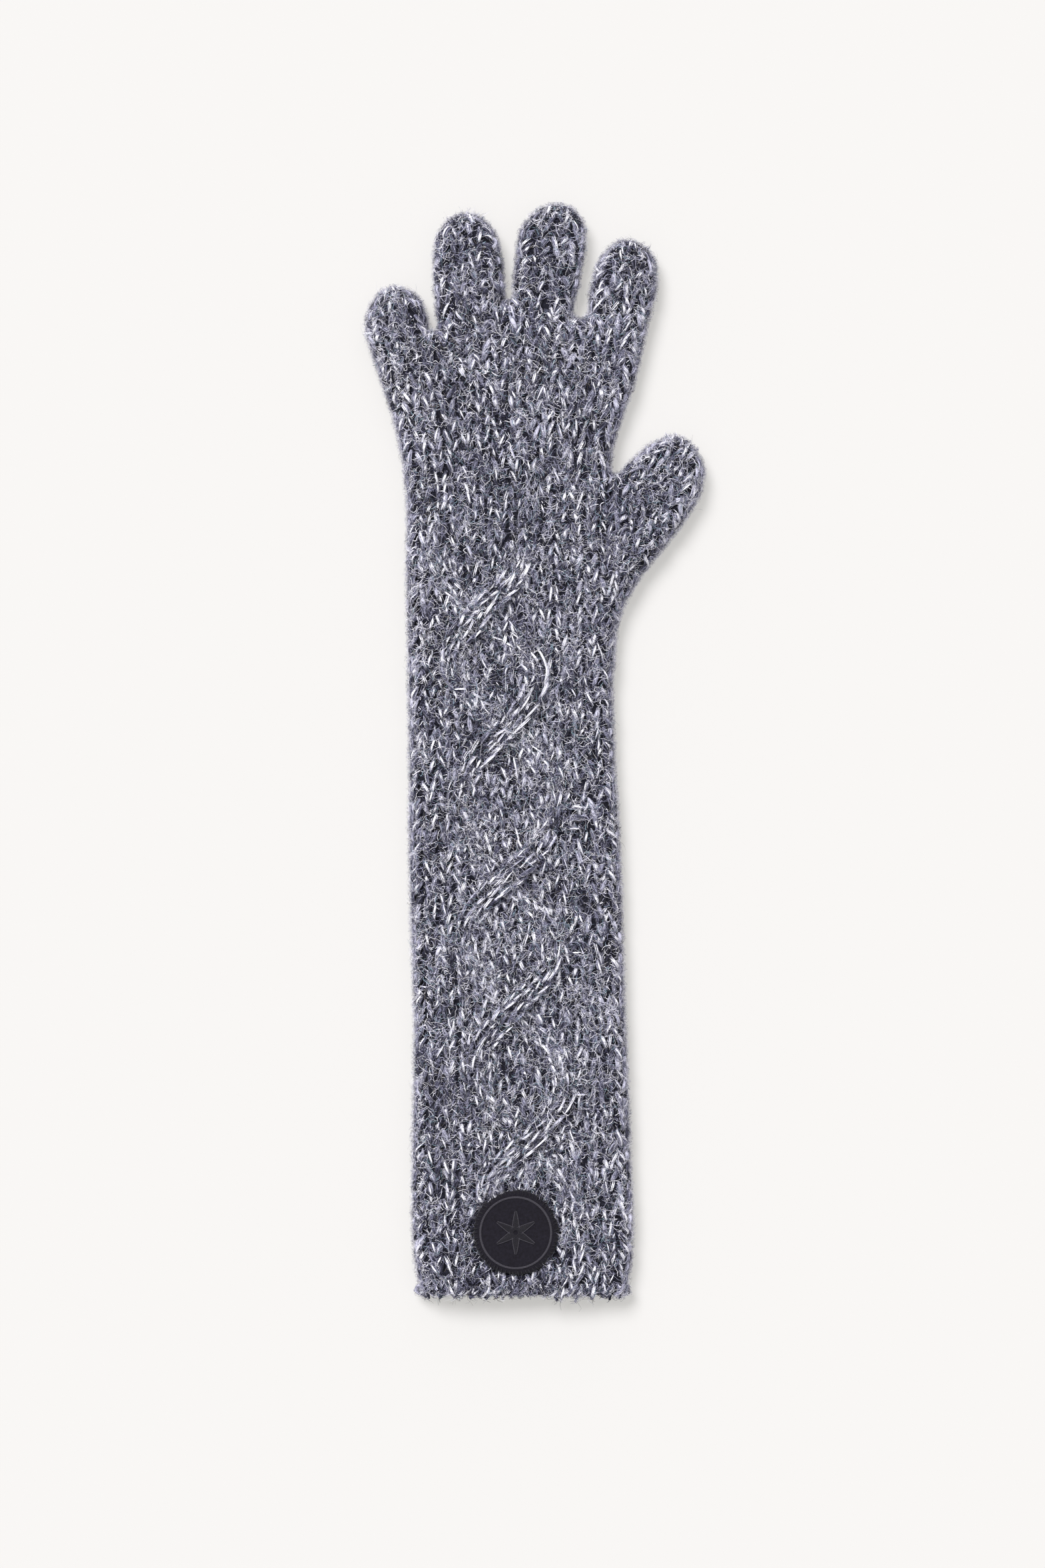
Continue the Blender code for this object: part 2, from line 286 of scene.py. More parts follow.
class Field:
    """Values on a regular grid over the plan, read smoothly between the grid's points."""

    def __init__(self, values):
        self.values = values

    def __call__(self, x, y):
        rows, columns = self.values.shape
        gx = np.clip((x - GRID_X[0]) / GRID_STEP, 0, columns - 1.001)
        gy = np.clip((y - GRID_Y[0]) / GRID_STEP, 0, rows - 1.001)
        return read_grid(self.values, gx, gy)


def depth_field(run):
    """Distance to the outline, positive inside it."""
    x, y = grid_points()
    nearest = np.full(x.shape, 1e9)
    inside = np.zeros(x.shape, bool)
    for (ax, ay), (bx, by) in zip(run, np.roll(run, -1, axis=0)):
        dx, dy = bx - ax, by - ay
        along = np.clip(((x - ax) * dx + (y - ay) * dy) / max(dx * dx + dy * dy, 1e-12), 0, 1)
        nearest = np.minimum(nearest, (x - ax - along * dx) ** 2 + (y - ay - along * dy) ** 2)
        if ay != by:
            inside ^= ((ay > y) != (by > y)) & (x < dx * (y - ay) / (by - ay) + ax)
    return Field(np.where(inside, 1, -1) * np.sqrt(nearest))


OUTLINE = smooth_outline()
DEPTH = depth_field(OUTLINE)


def random_field(*cells):
    """A smooth random field: a sum of blotches of the given sizes, about -2 to 2."""
    x, y = grid_points()
    total = np.zeros(x.shape)
    for cell in cells:
        gx, gy = (x - GRID_X[0]) / cell, (y - GRID_Y[0]) / (1.5 * cell)
        knots = RNG.normal(0, 1, (int(gy.max()) + 2, int(gx.max()) + 2))
        total += read_grid(knots, gx, gy, smoothstep)
    return Field(total / total.std())


TONE = random_field(5.0, 9.0, 22.0)


# ==== Surface: the height and the outward direction of either layer of fabric.
SWELLS = [(RNG.uniform(-1, 1, 2) * SWELL_RATE, RNG.uniform(0, 2 * math.pi)) for _ in range(6)]


def tone(x, y):
    """Pale and dark blotches of the yarn, with the fingertips and the badge's end a little darker."""
    ends = smoothstep((y - DARK_TIPS_Y) / DARK_TIPS_FADE) + smoothstep((DARK_CUFF_Y - y) / DARK_CUFF_FADE)
    return TONE(x, y) - END_DARKNESS * ends


def swell(x, y):
    """Slow, slight unevenness of the fabric, in millimetres."""
    total = np.zeros(np.shape(x))
    for (kx, ky), phase in SWELLS:
        total = total + np.sin(kx * x + ky * y + phase)
    return SWELL_HEIGHT * total


def half_thickness(x, y, side):
    """Height of the ground under the yarn above the middle plane (side 1) or below it (side -1)."""
    depth = DEPTH(x, y) - INSET
    turn = np.sqrt(np.clip(1 - (1 - np.clip(depth / RIM, 0, 1)) ** 2, 0, 1))
    crown = CROWN * (1 - np.exp(-np.clip(depth - 2, 0, None) / CROWN_RUN))
    top = TOP_CORE * turn + crown + swell(x, y) * turn
    reach = np.hypot(x - BADGE_CENTRE[0], y - BADGE_CENTRE[1])
    top = top - BADGE_DENT * (1 - smoothstep((reach - BADGE_RADIUS + 1) / DENT_EDGE))
    crease = np.hypot(x - CREASE_X, y - np.clip(y, *CREASE_Y))
    top = top - CREASE_DEPTH * (1 - smoothstep(crease / CREASE_REACH))
    return np.where(side > 0, top, UNDER_CORE * turn)


def keep_inside(x, y, least=INSET + 0.2):
    """Moves points that lie too near the outline back to a least distance inside it."""
    short = np.clip(least - DEPTH(x, y), 0, None)
    gx, gy = slopes(DEPTH, x, y, 0.7)
    size = np.maximum(np.hypot(gx, gy), 0.3)
    return x + gx / size * short, y + gy / size * short


def surface(x, y, side):
    """Points on the ground of one layer, and their outward directions."""
    x, y = keep_inside(x, y)
    height = half_thickness(x, y, side)
    slope = np.clip(slopes(lambda x, y: half_thickness(x, y, side), x, y, 0.5), -2.5, 2.5)
    outward = np.stack([-slope[0], -slope[1], side * np.ones_like(height)], axis=-1)
    outward /= np.linalg.norm(outward, axis=-1, keepdims=True)
    return np.stack([x, y, MIDDLE_Z + side * height], axis=-1), outward


# ==== Stitches: columns of V shapes laid over runs of rows.
def hand_sections():
    """Left and right ends of the straight rows from the hem to the roots of the fingers."""
    left = np.array([(HEM_LEFT_X, HEM_Y)] + CUFF_LEFT + HAND_LEFT)
    right = np.array([(HEM_RIGHT_X, HEM_Y)] + CUFF_RIGHT[::-1] + [(32.6, 40)] + THUMB_WEB + HAND_RIGHT[::-1])
    rows = np.arange(HEM_Y + 2.2, 165, ROW)
    return [((np.interp(y, left[:, 1], left[:, 0]), y), (np.interp(y, right[:, 1], right[:, 0]), y))
            for y in rows]


def finger_axes(finger):
    """Unit vectors along and across a finger."""
    lean = math.radians(finger["lean"])
    return np.array([math.sin(lean), math.cos(lean)]), np.array([math.cos(lean), -math.sin(lean)])


def finger_sections(finger):
    """A finger's rows: its roots in the hand, then chords of the outline up to its tip."""
    along, across = finger_axes(finger)
    sections = list(FINGER_ROOTS[finger["name"]])
    reach = np.arange(0, FINGER_REACH, 0.25)
    for distance in np.arange(finger["folds"][0] + 1, finger["tip"], CHORD_STEP):
        ends = []
        for way in (-1, 1):
            line = along * distance + across * (finger["middle"] + way * reach)[:, None]
            outside = np.nonzero(DEPTH(line[:, 0], line[:, 1]) < 0.2)[0]
            ends.append(line[outside[0]] if len(outside) else line[-1])
        if np.linalg.norm(ends[1] - ends[0]) < LEAST_CHORD:
            break
        sections.append((tuple(ends[0]), tuple(ends[1])))
    return sections


def cable_offset(y, strand):
    """Sideways place of one cable strand, and how far over (1) or under (-1) its twin it runs."""
    heights = np.array([crossing[0] for crossing in CROSSINGS])
    nearest = np.abs(np.asarray(y)[..., None] - heights).argmin(axis=-1)
    way = np.where(nearest % 2 == 0, 1, -1) * strand
    reach = (y - heights[nearest]) / CROSSING_REACH
    offset = way * reach / (1 + np.abs(reach) ** 5) ** 0.2
    over = way * np.exp(-reach ** 4)
    middle = np.interp(y, heights, [crossing[1] for crossing in CROSSINGS])
    return middle + offset * CABLE_SWING, over


def cable_sections(strand):
    """Rows across one strand of the cable, from its start to its end."""
    y = np.linspace(CABLE_START_Y, CABLE_END_Y, 260)
    x, _ = cable_offset(y, strand)
    slope_x, slope_y = np.gradient(x), np.gradient(y)
    size = np.hypot(slope_x, slope_y)
    nx, ny = slope_y / size * STRAND_WIDTH / 2, -slope_x / size * STRAND_WIDTH / 2
    return [((x[i] - nx[i], y[i] - ny[i]), (x[i] + nx[i], y[i] + ny[i])) for i in range(len(y))]


class Rows:
    """A run of rows between left and right ends, addressed by length along and share across."""

    def __init__(self, sections):
        self.left = np.array([section[0] for section in sections], float)
        self.right = np.array([section[1] for section in sections], float)
        self.length = lengths_along((self.left + self.right) / 2)

    def place(self, along, share):
        """A point of the run; before its start the rows carry on straight."""
        early = np.minimum(along, 0) / self.length[1]
        ends = [np.interp(along, self.length, side[:, axis]) + early * (side[1, axis] - side[0, axis])
                for side in (self.left, self.right) for axis in (0, 1)]
        return ends[0] + (ends[2] - ends[0]) * share, ends[1] + (ends[3] - ends[1]) * share

    def width(self, along):
        lx, ly = self.place(along, 0)
        rx, ry = self.place(along, 1)
        return float(math.hypot(rx - lx, ry - ly))


def lay_stitches(rows, columns, side, raise_by=None, pitch_by=ROW, splay=SPLAY, reach=None):
    """The two legs of every stitch: middle lines, outward directions and radii."""
    cells = []
    lag = RNG.uniform(-0.3, 0.3, MOST_COLUMNS) * pitch_by
    for index in range(int((reach or rows.length[-1] + pitch_by) / pitch_by)):
        row = (index + 0.5) * pitch_by
        across = rows.width(min(row, rows.length[-1]))
        count = columns or max(1, round(across / COLUMN))
        for column in range(count):
            cells.append((row + lag[column], (column + 0.5) / count, 1 / count, across / count))
    along, share, pitch, width = np.repeat(cells, 2, axis=0).T[:, :, None]
    count = len(along)
    scale = np.clip(width / COLUMN, 0.35, 1.16)
    leg = np.tile([-1.0, 1.0], count // 2)[:, None]
    t = np.linspace(0, 1, TOP_STEPS if side > 0 else UNDER_STEPS)[None, :]
    drift = RNG.normal(0, 0.08, (count, 1)), RNG.normal(0, 0.18, (count, 1))
    stretch = RNG.uniform(0.82, 1.2, (count, 1))
    tilt = RNG.normal(0, 0.1, (count, 1)) * (t - 0.5)
    apart = splay[0] + (splay[1] - splay[0]) * (0.6 * t + 0.4 * smoothstep(t))
    u = share + pitch * (leg * apart + drift[0] + tilt)
    v = along + pitch_by * (0.05 + LEG_REACH * stretch * (t - 0.5) + drift[1])
    x, y = rows.place(v, u)
    point, outward = surface(x, y, side)
    lift = -LEG_SINK + LEG_RISE * np.sin(math.pi * t) ** 0.8 + RNG.normal(0, 0.12, (count, 1))
    if raise_by is not None:
        lift = lift + raise_by(y)
    point = point + outward * lift[..., None]
    radius = LEG_RADIUS * scale * RNG.uniform(0.75, 1.15, (count, 1)) * taper(t, 0.3, 0.06, 0.8)
    return point, outward, radius


def strand_raise(strand):
    """How far one cable strand stands up from the ground, as a function of height."""
    def raise_by(y):
        _, over = cable_offset(y, strand)
        ends = smoothstep((y - CABLE_START_Y) / 14) * smoothstep((CABLE_END_Y - y) / 22)
        near_badge = smoothstep((y - BADGE_CENTRE[1] - BADGE_RADIUS - 1) / 12)
        return (STRAND_RAISE + CROSSING_RAISE * over) * ends * near_badge - 0.6 * (1 - near_badge)
    return raise_by


def purl_bars():
    """Short bars of purl stitches that lie across the fabric beside the cable's widest places."""
    t = np.linspace(-0.5, 0.5, TOP_STEPS)
    lines = [(x + length * t, y + PURL_APART * row + 0.9 * np.cos(math.pi * t) * (row + 0.6))
             for x, y, length in PURL_BARS for row in (-0.5, 0.5)]
    x, y = np.array(lines).swapaxes(0, 1)
    point, outward = surface(x, y, 1)
    point = point + outward * PURL_LIFT
    radius = PURL_RADIUS * taper(np.linspace(0, 1, TOP_STEPS), 0, 0.1) * np.ones(x.shape)
    return point, outward, radius


def rim_run():
    """The rim of the ground, in order from one end of the hem to the other."""
    run = np.column_stack(keep_inside(*OUTLINE.T, INSET))
    run = run[(run[:, 1] > CORE_END_Y + 0.01) & (np.abs(DEPTH(*run.T) - INSET) < 0.3)]
    start = int(np.argmax(np.linalg.norm(run - np.roll(run, 1, axis=0), axis=1)))
    return np.roll(run, -start, axis=0)


def rim_stitches():
    """The column of stitches that runs round the rim, where the two layers of fabric meet."""
    run = rim_run()
    length = lengths_along(run)
    along = np.repeat(np.arange(ROW, length[-1] - ROW, ROW), 2)[:, None]
    count = len(along)
    leg = np.tile([-1.0, 1.0], count // 2)[:, None]
    t = np.linspace(0, 1, TOP_STEPS)[None, :]
    v = along + ROW * (RIM_REACH * (t - 0.5) + RNG.normal(0, 0.12, (count, 1)))
    x, y = np.interp(v, length, run[:, 0]), np.interp(v, length, run[:, 1])
    slope_x, slope_y = slopes(DEPTH, x, y, 0.7)
    outward = unit(np.stack([-slope_x, -slope_y, 0 * x], axis=-1))
    height = MIDDLE_Z + leg * (0.35 + 0.85 * smoothstep(t)) + RNG.normal(0, 0.15, (count, 1))
    lift = -0.2 + 1.05 * np.sin(math.pi * t) + RNG.normal(0, 0.12, (count, 1))
    point = np.stack([x, y, height], axis=-1) + outward * lift[..., None]
    radius = LEG_RADIUS * RNG.uniform(0.75, 1.1, (count, 1)) * taper(t, 0.3, 0.06)
    return point, outward, radius


def all_stitches():
    """Every stitch of the glove, as layers of (points, outwards, radii, side, share with flecks)."""
    layers = []
    for side in (1, -1):
        flecks = TOP_FLECKS if side > 0 else UNDER_FLECKS
        hand = lay_stitches(Rows(hand_sections()), HAND_COLUMNS, side, reach=ROOT_Y - HEM_Y)
        layers.append((*hand, side, flecks))
        for finger in FINGERS:
            columns = None if finger["name"] == "thumb" else FINGER_COLUMNS
            rows = Rows(finger_sections(finger))
            layers.append((*lay_stitches(rows, columns, side, pitch_by=FINGER_ROW), side, flecks))
    for strand in (-1, 1):
        rows = Rows(cable_sections(strand))
        cable = lay_stitches(rows, STRAND_COLUMNS, 1, strand_raise(strand), STRAND_ROW, STRAND_SPLAY)
        _, over = cable_offset(cable[0][:, TOP_STEPS // 2, 1], strand)
        layers.append((*cable, 1, CABLE_FLECKS[0] + CABLE_FLECKS[1] * np.clip(over, 0, 1)))
    layers.append((*purl_bars(), 1, PURL_FLECKS))
    layers.append((*rim_stitches(), 1, RIM_FLECKS))
    return layers


# ==== Pieces: which piece of the fabric a point belongs to.
def piece_names():
    names = ["lower", "upper", "hand"]
    for finger in FINGERS:
        names += finger["nodes"]
    return names


PIECES = piece_names()


def piece_of(x, y):
    """The index in PIECES of the piece that holds each point of the plan."""
    piece = np.where(y < LOWER_END_Y, 0, np.where(y < UPPER_END_Y, 1, 2))
    nearest = np.full(np.shape(x), PIECE_HALF)
    for finger in FINGERS:
        along, across = finger_axes(finger)
        distance = x * along[0] + y * along[1]
        off = np.abs(x * across[0] + y * across[1] - finger["middle"])
        held = (distance > finger["folds"][0] - PIECE_LEAD) & (off < nearest) & (y > UPPER_END_Y)
        nearest = np.where(held, off, nearest)
        first = PIECES.index(finger["nodes"][0])
        piece = np.where(held, first, piece)
        if len(finger["folds"]) > 1:
            piece = np.where(held & (distance > sum(finger["folds"]) / 2), first + 1, piece)
    return piece


def shares_of(points):
    """For each piece that holds any of some points: its name, and which of them it holds."""
    piece = piece_of(points[:, 0], points[:, 1])
    for index, name in enumerate(PIECES):
        chosen = piece == index
        if chosen.any():
            yield name, chosen


# ==== Meshes from arrays.
class Batch:
    """Elements gathered for one object: corners, faces, texture places, shades, slots and strands."""

    def __init__(self):
        self.blocks, self.count = [], 0

    def add(self, points, faces, uvs, shades, slots, strands=None):
        strands = points if strands is None else strands
        self.blocks.append((points, faces + self.count, uvs, shades, slots, strands))
        self.count += len(points)

    def build(self, name, materials):
        """Makes one object of everything gathered."""
        points, faces, uvs, shades, slots, strands = zip(*self.blocks)
        mesh = bpy.data.meshes.new(name)
        points = np.concatenate(points).astype(np.float32) * MM
        mesh.vertices.add(len(points))
        mesh.vertices.foreach_set("co", points.ravel())
        corners = np.concatenate([block.ravel() for block in faces])
        sizes = np.concatenate([np.full(len(block), block.shape[1]) for block in faces])
        mesh.loops.add(len(corners))
        mesh.loops.foreach_set("vertex_index", corners.astype(np.int32))
        mesh.polygons.add(len(sizes))
        starts = np.concatenate([[0], np.cumsum(sizes)[:-1]])
        mesh.polygons.foreach_set("loop_start", starts.astype(np.int32))
        mesh.polygons.foreach_set("material_index", np.concatenate(slots).astype(np.int32))
        mesh.polygons.foreach_set("use_smooth", np.full(len(sizes), True))
        mesh.update(calc_edges=True)
        if uvs[0] is not None:
            layer = mesh.uv_layers.new(name="OFBake")
            layer.uv.foreach_set("vector", np.concatenate(uvs).astype(np.float32).ravel())
        shade = mesh.attributes.new("shade", "FLOAT", "POINT")
        shade.data.foreach_set("value", np.concatenate(shades).astype(np.float32))
        strand = mesh.attributes.new("strand", "FLOAT_VECTOR", "POINT")
        strand.data.foreach_set("vector", np.concatenate(strands).astype(np.float32).ravel())
        mesh.validate()
        for material in materials:
            mesh.materials.append(material)
        return add_object(name, mesh)


def tube_points(lines, outward, radii, sides, flat):
    """Rings of points round each line, a little flattened towards the fabric."""
    tangent = unit(np.gradient(lines, axis=1))
    across = unit(np.cross(tangent, outward))
    up = np.cross(across, tangent)
    angle = 2 * math.pi * np.arange(sides) / sides
    ring = (across[:, :, None, :] * np.cos(angle)[None, None, :, None]
            + up[:, :, None, :] * (flat * np.sin(angle))[None, None, :, None])
    points = lines[:, :, None, :] + ring * radii[:, :, None, None]
    points[..., 2] = np.maximum(points[..., 2], YARN_CLEAR)
    return points


def strip_faces(count, steps, width, joined=True):
    """The faces of many strips of points, all alike. A strip whose sides are joined is a tube."""
    step = np.arange(steps - 1)[:, None]
    side = np.arange(width if joined else width - 1)[None, :]
    turn = (side + 1) % width
    quads = np.stack([step * width + side, step * width + turn,
                      (step + 1) * width + turn, (step + 1) * width + side], axis=-1).reshape(-1, 4)
    return (quads[None] + (np.arange(count) * steps * width)[:, None, None]).reshape(-1, 4)


def tube_strands(count, steps, sides):
    """Coordinates that follow each tube's strand: round it twice over, then slowly along it."""
    angle = 2 * math.pi * np.arange(sides) / sides
    round_it = np.broadcast_to(np.stack([np.cos(angle), np.sin(angle)], axis=-1), (count, steps, sides, 2))
    start = RNG.uniform(0, 400, (count, 1, 1, 1))
    along = start + 0.55 * np.linspace(0, 1, steps)[None, :, None, None]
    along = np.broadcast_to(along, (count, steps, sides, 1))
    return np.concatenate([round_it, along], axis=-1).reshape(-1, 3)


def tube_uvs(first, count, steps, sides, grid):
    """Each tube's own tile of the texture sheet: across is round the tube, up is along it."""
    step = np.arange(steps - 1)[:, None]
    side = np.arange(sides)[None, :]
    u = np.stack([side, side + 1, side + 1, side], axis=-1) + 0 * step[..., None]
    v = np.stack([step, step, step + 1, step + 1], axis=-1) + 0 * side[..., None]
    room = 1 - 2 * TILE_MARGIN
    local = np.stack([TILE_MARGIN + room * u / sides, TILE_MARGIN + room * v / (steps - 1)], axis=-1)
    tile = np.arange(first, first + count)
    corner = np.stack([tile % grid, tile // grid], axis=-1)[:, None, None, None, :]
    return ((corner + local.reshape(1, steps - 1, sides, 4, 2)) / grid * [1, SHEET_SHARE]).reshape(-1, 2)


def add_tubes(batch, line, outward, radii, sides, first=0, grid=None, shades=None, strands=None, flat=0.86):
    """Adds tubes to a batch, each with its own tile of the texture sheet."""
    count, steps = radii.shape
    rings = tube_points(line, outward, radii, sides, flat).reshape(-1, 3)
    faces = strip_faces(count, steps, sides)
    places = tube_uvs(first, count, steps, sides, grid or math.ceil(math.sqrt(count)))
    shades = np.repeat(np.zeros(count) if shades is None else shades, steps * sides)
    batch.add(rings, faces, places, shades, np.zeros(len(faces)), strands)


# ==== Materials: the yarn's colours along its streaks, the ground's near-black painted shade, and the fibres' with their weights.
YARN_RAMP = [(0.25, (0.0049, 0.0049, 0.0096)), (0.44, (0.0395, 0.0385, 0.067)), (0.6, (0.205, 0.202, 0.292)),
             (0.83, (0.802, 0.786, 0.948))]
# The ground is near-black: painted shade that shows in the gaps between the stitches.
GROUND_PAINTED_SHADE = (0.0115, 0.0113, 0.0195)
FIBRE_SHADES = [((0.0088, 0.0087, 0.0182), 0.36), ((0.068, 0.066, 0.116), 0.15), ((0.16, 0.14, 0.13), 0.02),
                ((0.243, 0.238, 0.352), 0.1), ((0.25, 0.35, 0.42), 0.05), ((0.5, 0.489, 0.643), 0.12),
                ((0.945, 0.927, 1.0), 0.2)]
FLECK_COLOUR = (0.95, 0.937, 1.0)


def set_inputs(node, values):
    for name, value in values.items():
        node.inputs[name].default_value = value


def shader_of(material):
    return material.node_tree.nodes["Principled BSDF"]


def principled(name, colour, roughness, sheen=0.0):
    made = bpy.data.materials.new(name)
    made.use_nodes = True
    set_inputs(shader_of(made), {"Base Color": (*colour, 1), "Roughness": roughness,
                                 "Specular IOR Level": 0.25, "Sheen Weight": sheen, "Sheen Roughness": 0.5})
    return made


def add_node(material, kind, **settings):
    made = material.node_tree.nodes.new(kind)
    for name, value in settings.items():
        if name in made.inputs:
            made.inputs[name].default_value = value
        else:
            setattr(made, name.lower(), value)
    return made


def link(material, source, output, target, socket):
    material.node_tree.links.new(source.outputs[output], target.inputs[socket])


def add_bump(material, height_node, output, strength, distance):
    bump = add_node(material, "ShaderNodeBump", Strength=strength, Distance=distance)
    link(material, height_node, output, bump, "Height")
    link(material, bump, "Normal", shader_of(material), "Normal")


def math_node(material, operation, source, output, number, added=()):
    """A Math node over one node's output and a number, and over a third node's output if given."""
    made = add_node(material, "ShaderNodeMath", operation=operation)
    made.inputs[1].default_value = number
    link(material, source, output, made, 0)
    if added:
        link(material, *added, made, 2)
    return made


def colour_by(material, source, output, stops):
    """Colours the surface with a ramp over one node's output."""
    ramp = add_node(material, "ShaderNodeValToRGB")
    elements = ramp.color_ramp.elements
    while len(elements) < len(stops):
        elements.new(0.5)
    for element, (place, colour) in zip(elements, stops):
        element.position = place
        element.color = (*colour, 1)
    link(material, source, output, ramp, "Fac")
    link(material, ramp, "Color", shader_of(material), "Base Color")


def yarn_material():
    """Marled yarn: streaks along each strand, over a shade of its own for each stitch."""
    made = principled("mohair_yarn", (0.1, 0.1, 0.13), 0.92, 0.2)
    coordinates = add_node(made, "ShaderNodeTexCoord")
    strand = add_node(made, "ShaderNodeAttribute", attribute_name="strand")
    shade = add_node(made, "ShaderNodeAttribute", attribute_name="shade")
    streaks = add_node(made, "ShaderNodeTexNoise", Scale=2.6, Detail=3.0, Roughness=0.65)
    hairs = add_node(made, "ShaderNodeTexNoise", Scale=1500.0, Detail=4.0, Roughness=0.7)
    link(made, strand, "Vector", streaks, "Vector")
    link(made, coordinates, "Object", hairs, "Vector")
    broad = math_node(made, "MULTIPLY_ADD", streaks, "Fac", 1.5, (shade, "Fac"))
    fine = math_node(made, "MULTIPLY_ADD", hairs, "Fac", 0.5, (broad, "Value"))
    colour_by(made, math_node(made, "SUBTRACT", fine, "Value", 0.5), "Value", YARN_RAMP)
    add_bump(made, streaks, "Fac", 0.6, 0.0006)
    return made


def wool_material(name, colour, roughness, sheen, noise, stops, bump):
    """Matted wool: one fine noise gives it its two shades and its nap."""
    made = principled(name, colour, roughness, sheen)
    coordinates = add_node(made, "ShaderNodeTexCoord")
    wool = add_node(made, "ShaderNodeTexNoise", Scale=noise[0], Detail=noise[1], Roughness=noise[2])
    link(made, coordinates, "Object", wool, "Vector")
    colour_by(made, wool, "Fac", stops)
    add_bump(made, wool, "Fac", *bump)
    return made


def core_material():
    # The ground's dark colour is painted shade for the gaps between the stitches.
    dark, light = [tuple(factor * c for c in GROUND_PAINTED_SHADE) for factor in (0.5, 1.7)]
    stops = [(0.3, dark), (0.7, light)]
    return wool_material("mohair_ground_painted_shade", GROUND_PAINTED_SHADE, 0.95, 0.1, (700.0, 4.0, 0.65), stops, (0.7, 0.0008))


def felt_material(name, dark, light, scale):
    stops = [(0.35, dark), (0.72, light)]
    return wool_material(name, dark, 0.95, 0.15, (scale, 6.0, 0.7), stops, (0.5, 0.0005))


# ==== The knitted layer: ground and stitches.
def plan_mesh():
    """Points and triangles that fill the outline, close together along its edge."""
    run = rim_run()
    hem_x = np.linspace(run[-1][0], run[0][0], 34)[1:-1]
    edge = np.concatenate([run, np.stack([hem_x, np.full(len(hem_x), CORE_END_Y)], axis=1)])
    x, y = np.meshgrid(np.arange(-80, 80, GROUND_GRID), np.arange(CORE_END_Y + 2.2, 236, GROUND_GRID))
    x = x + (np.arange(len(x)) % 2)[:, None] * GROUND_GRID / 2
    inner = np.column_stack([x.ravel(), y.ravel()])
    inner = inner[DEPTH(*inner.T) > INSET + 3.4]
    rings = []
    for depth in GROUND_RINGS:
        ring = np.column_stack(keep_inside(*run.T, INSET + depth))
        held = np.abs(DEPTH(*ring.T) - (INSET + depth)) < 0.1
        rings.append(ring[held & (ring[:, 1] > CORE_END_Y + 1.2)])
    points = [Vector(point) for point in np.concatenate([edge] + rings + [inner]).tolist()]
    sides = [(i, (i + 1) % len(edge)) for i in range(len(edge))]
    found = delaunay_2d_cdt(points, sides, [list(range(len(edge)))], 1, 1e-4)
    return np.array([tuple(point) for point in found[0]]), np.array(found[2])


def core_shell():
    """The ground under the yarn: two layers joined round the rim and open at the hem."""
    plan, triangles = plan_mesh()
    joined = (DEPTH(*plan.T) < INSET + 0.12) & (plan[:, 1] > CORE_END_Y + 0.5)
    heights = [np.where(joined, 0, half_thickness(*plan.T, side)) for side in (1, -1)]
    under_index = np.where(joined, np.arange(len(plan)), np.cumsum(~joined) - 1 + len(plan))
    top = np.column_stack([plan, MIDDLE_Z + heights[0]])
    under = np.column_stack([plan, MIDDLE_Z - heights[1]])[~joined]
    faces = np.concatenate([triangles, under_index[triangles[:, ::-1]]])
    points = np.concatenate([top, under])
    mesh = bpy.data.meshes.new("core")
    mesh.from_pydata((points * MM).tolist(), [], faces.tolist())
    thick = add_object("core", mesh)
    solidify = thick.modifiers.new("thickness", "SOLIDIFY")
    solidify.thickness = GROUND_THICKNESS * MM
    solidify.offset = -1
    done = worked_out(thick)
    points = np.array([vertex.co for vertex in done.vertices]) / MM
    points[:, 2] = np.maximum(points[:, 2], FLOOR_CLEAR)
    faces = [tuple(polygon.vertices) for polygon in done.polygons]
    bpy.data.meshes.remove(done)
    return points, np.array([(face[0], *face[i:i + 2]) for face in faces for i in range(1, len(face) - 1)])


def stitch_shades(places):
    """One shade per stitch leg: mostly middling, some dark and a few pale, in blotches, and paler near the
    rim as painted light.
    """
    count, x, y = len(places), places[:, 0], places[:, 1]
    spread = RNG.normal(0.0, SHADE_SPREAD, count) + SHADE_BLOTCHES * tone(x, y)
    # Painted light: the yarn is made paler towards the rim, which turns from the lamp.
    spread += YARN_RIM_PAINTED_LIGHT * (1 - smoothstep(DEPTH(x, y) / RIM_FADE))
    spread += (RNG.random(count) < PALE_LEGS[0]) * PALE_LEGS[1]
    return spread - (RNG.random(count) < DARK_LEGS[0]) * DARK_LEGS[1]


def add_yarn(batch, line, outward, radii, sides, first=0, grid=None):
    """Adds tubes of yarn, each with a shade of its own and streaks along its strand."""
    shades = stitch_shades(line[:, line.shape[1] // 2])
    add_tubes(batch, line, outward, radii, sides, first, grid, shades, tube_strands(*radii.shape, sides))


def knit_batches(layers, core):
    """For each piece, a batch with its stitches and its share of the ground."""
    batches = {name: Batch() for name in PIECES}
    held = {name: [] for name in PIECES}
    for points, outward, radii, side, _ in layers:
        for name, chosen in shares_of(points[:, points.shape[1] // 2]):
            held[name].append((points[chosen], outward[chosen], radii[chosen], side))
    core_points, core_faces = core
    for name, chosen in shares_of(core_points[core_faces].mean(axis=1)):
        batch = batches[name]
        grid = math.ceil(math.sqrt(sum(len(block[0]) for block in held[name])))
        first = 0
        for points, outward, radii, side in held[name]:
            add_yarn(batch, points, outward, radii, YARN_SIDES if side > 0 else UNDER_SIDES, first, grid)
            first += len(radii)
        used, faces = np.unique(core_faces[chosen], return_inverse=True)
        faces = faces.reshape(-1, 3)
        flat = core_points[used]
        low, high = flat[:, :2].min(axis=0), flat[:, :2].max(axis=0)
        share = (flat[:, :2] - low) / (high - low) * [0.98, 0.98 * (1 - SHEET_SHARE)]
        share = share + [0.01, SHEET_SHARE + 0.005]
        batch.add(flat, faces, share[faces.ravel()], np.zeros(len(flat)), np.ones(len(faces)))
    return batches


# ==== Fuzz: loose mohair fibres and the pale flecks in the yarn.
FUZZ_KINDS = ["down", "fuzz", "web", "halo", "flecks"]


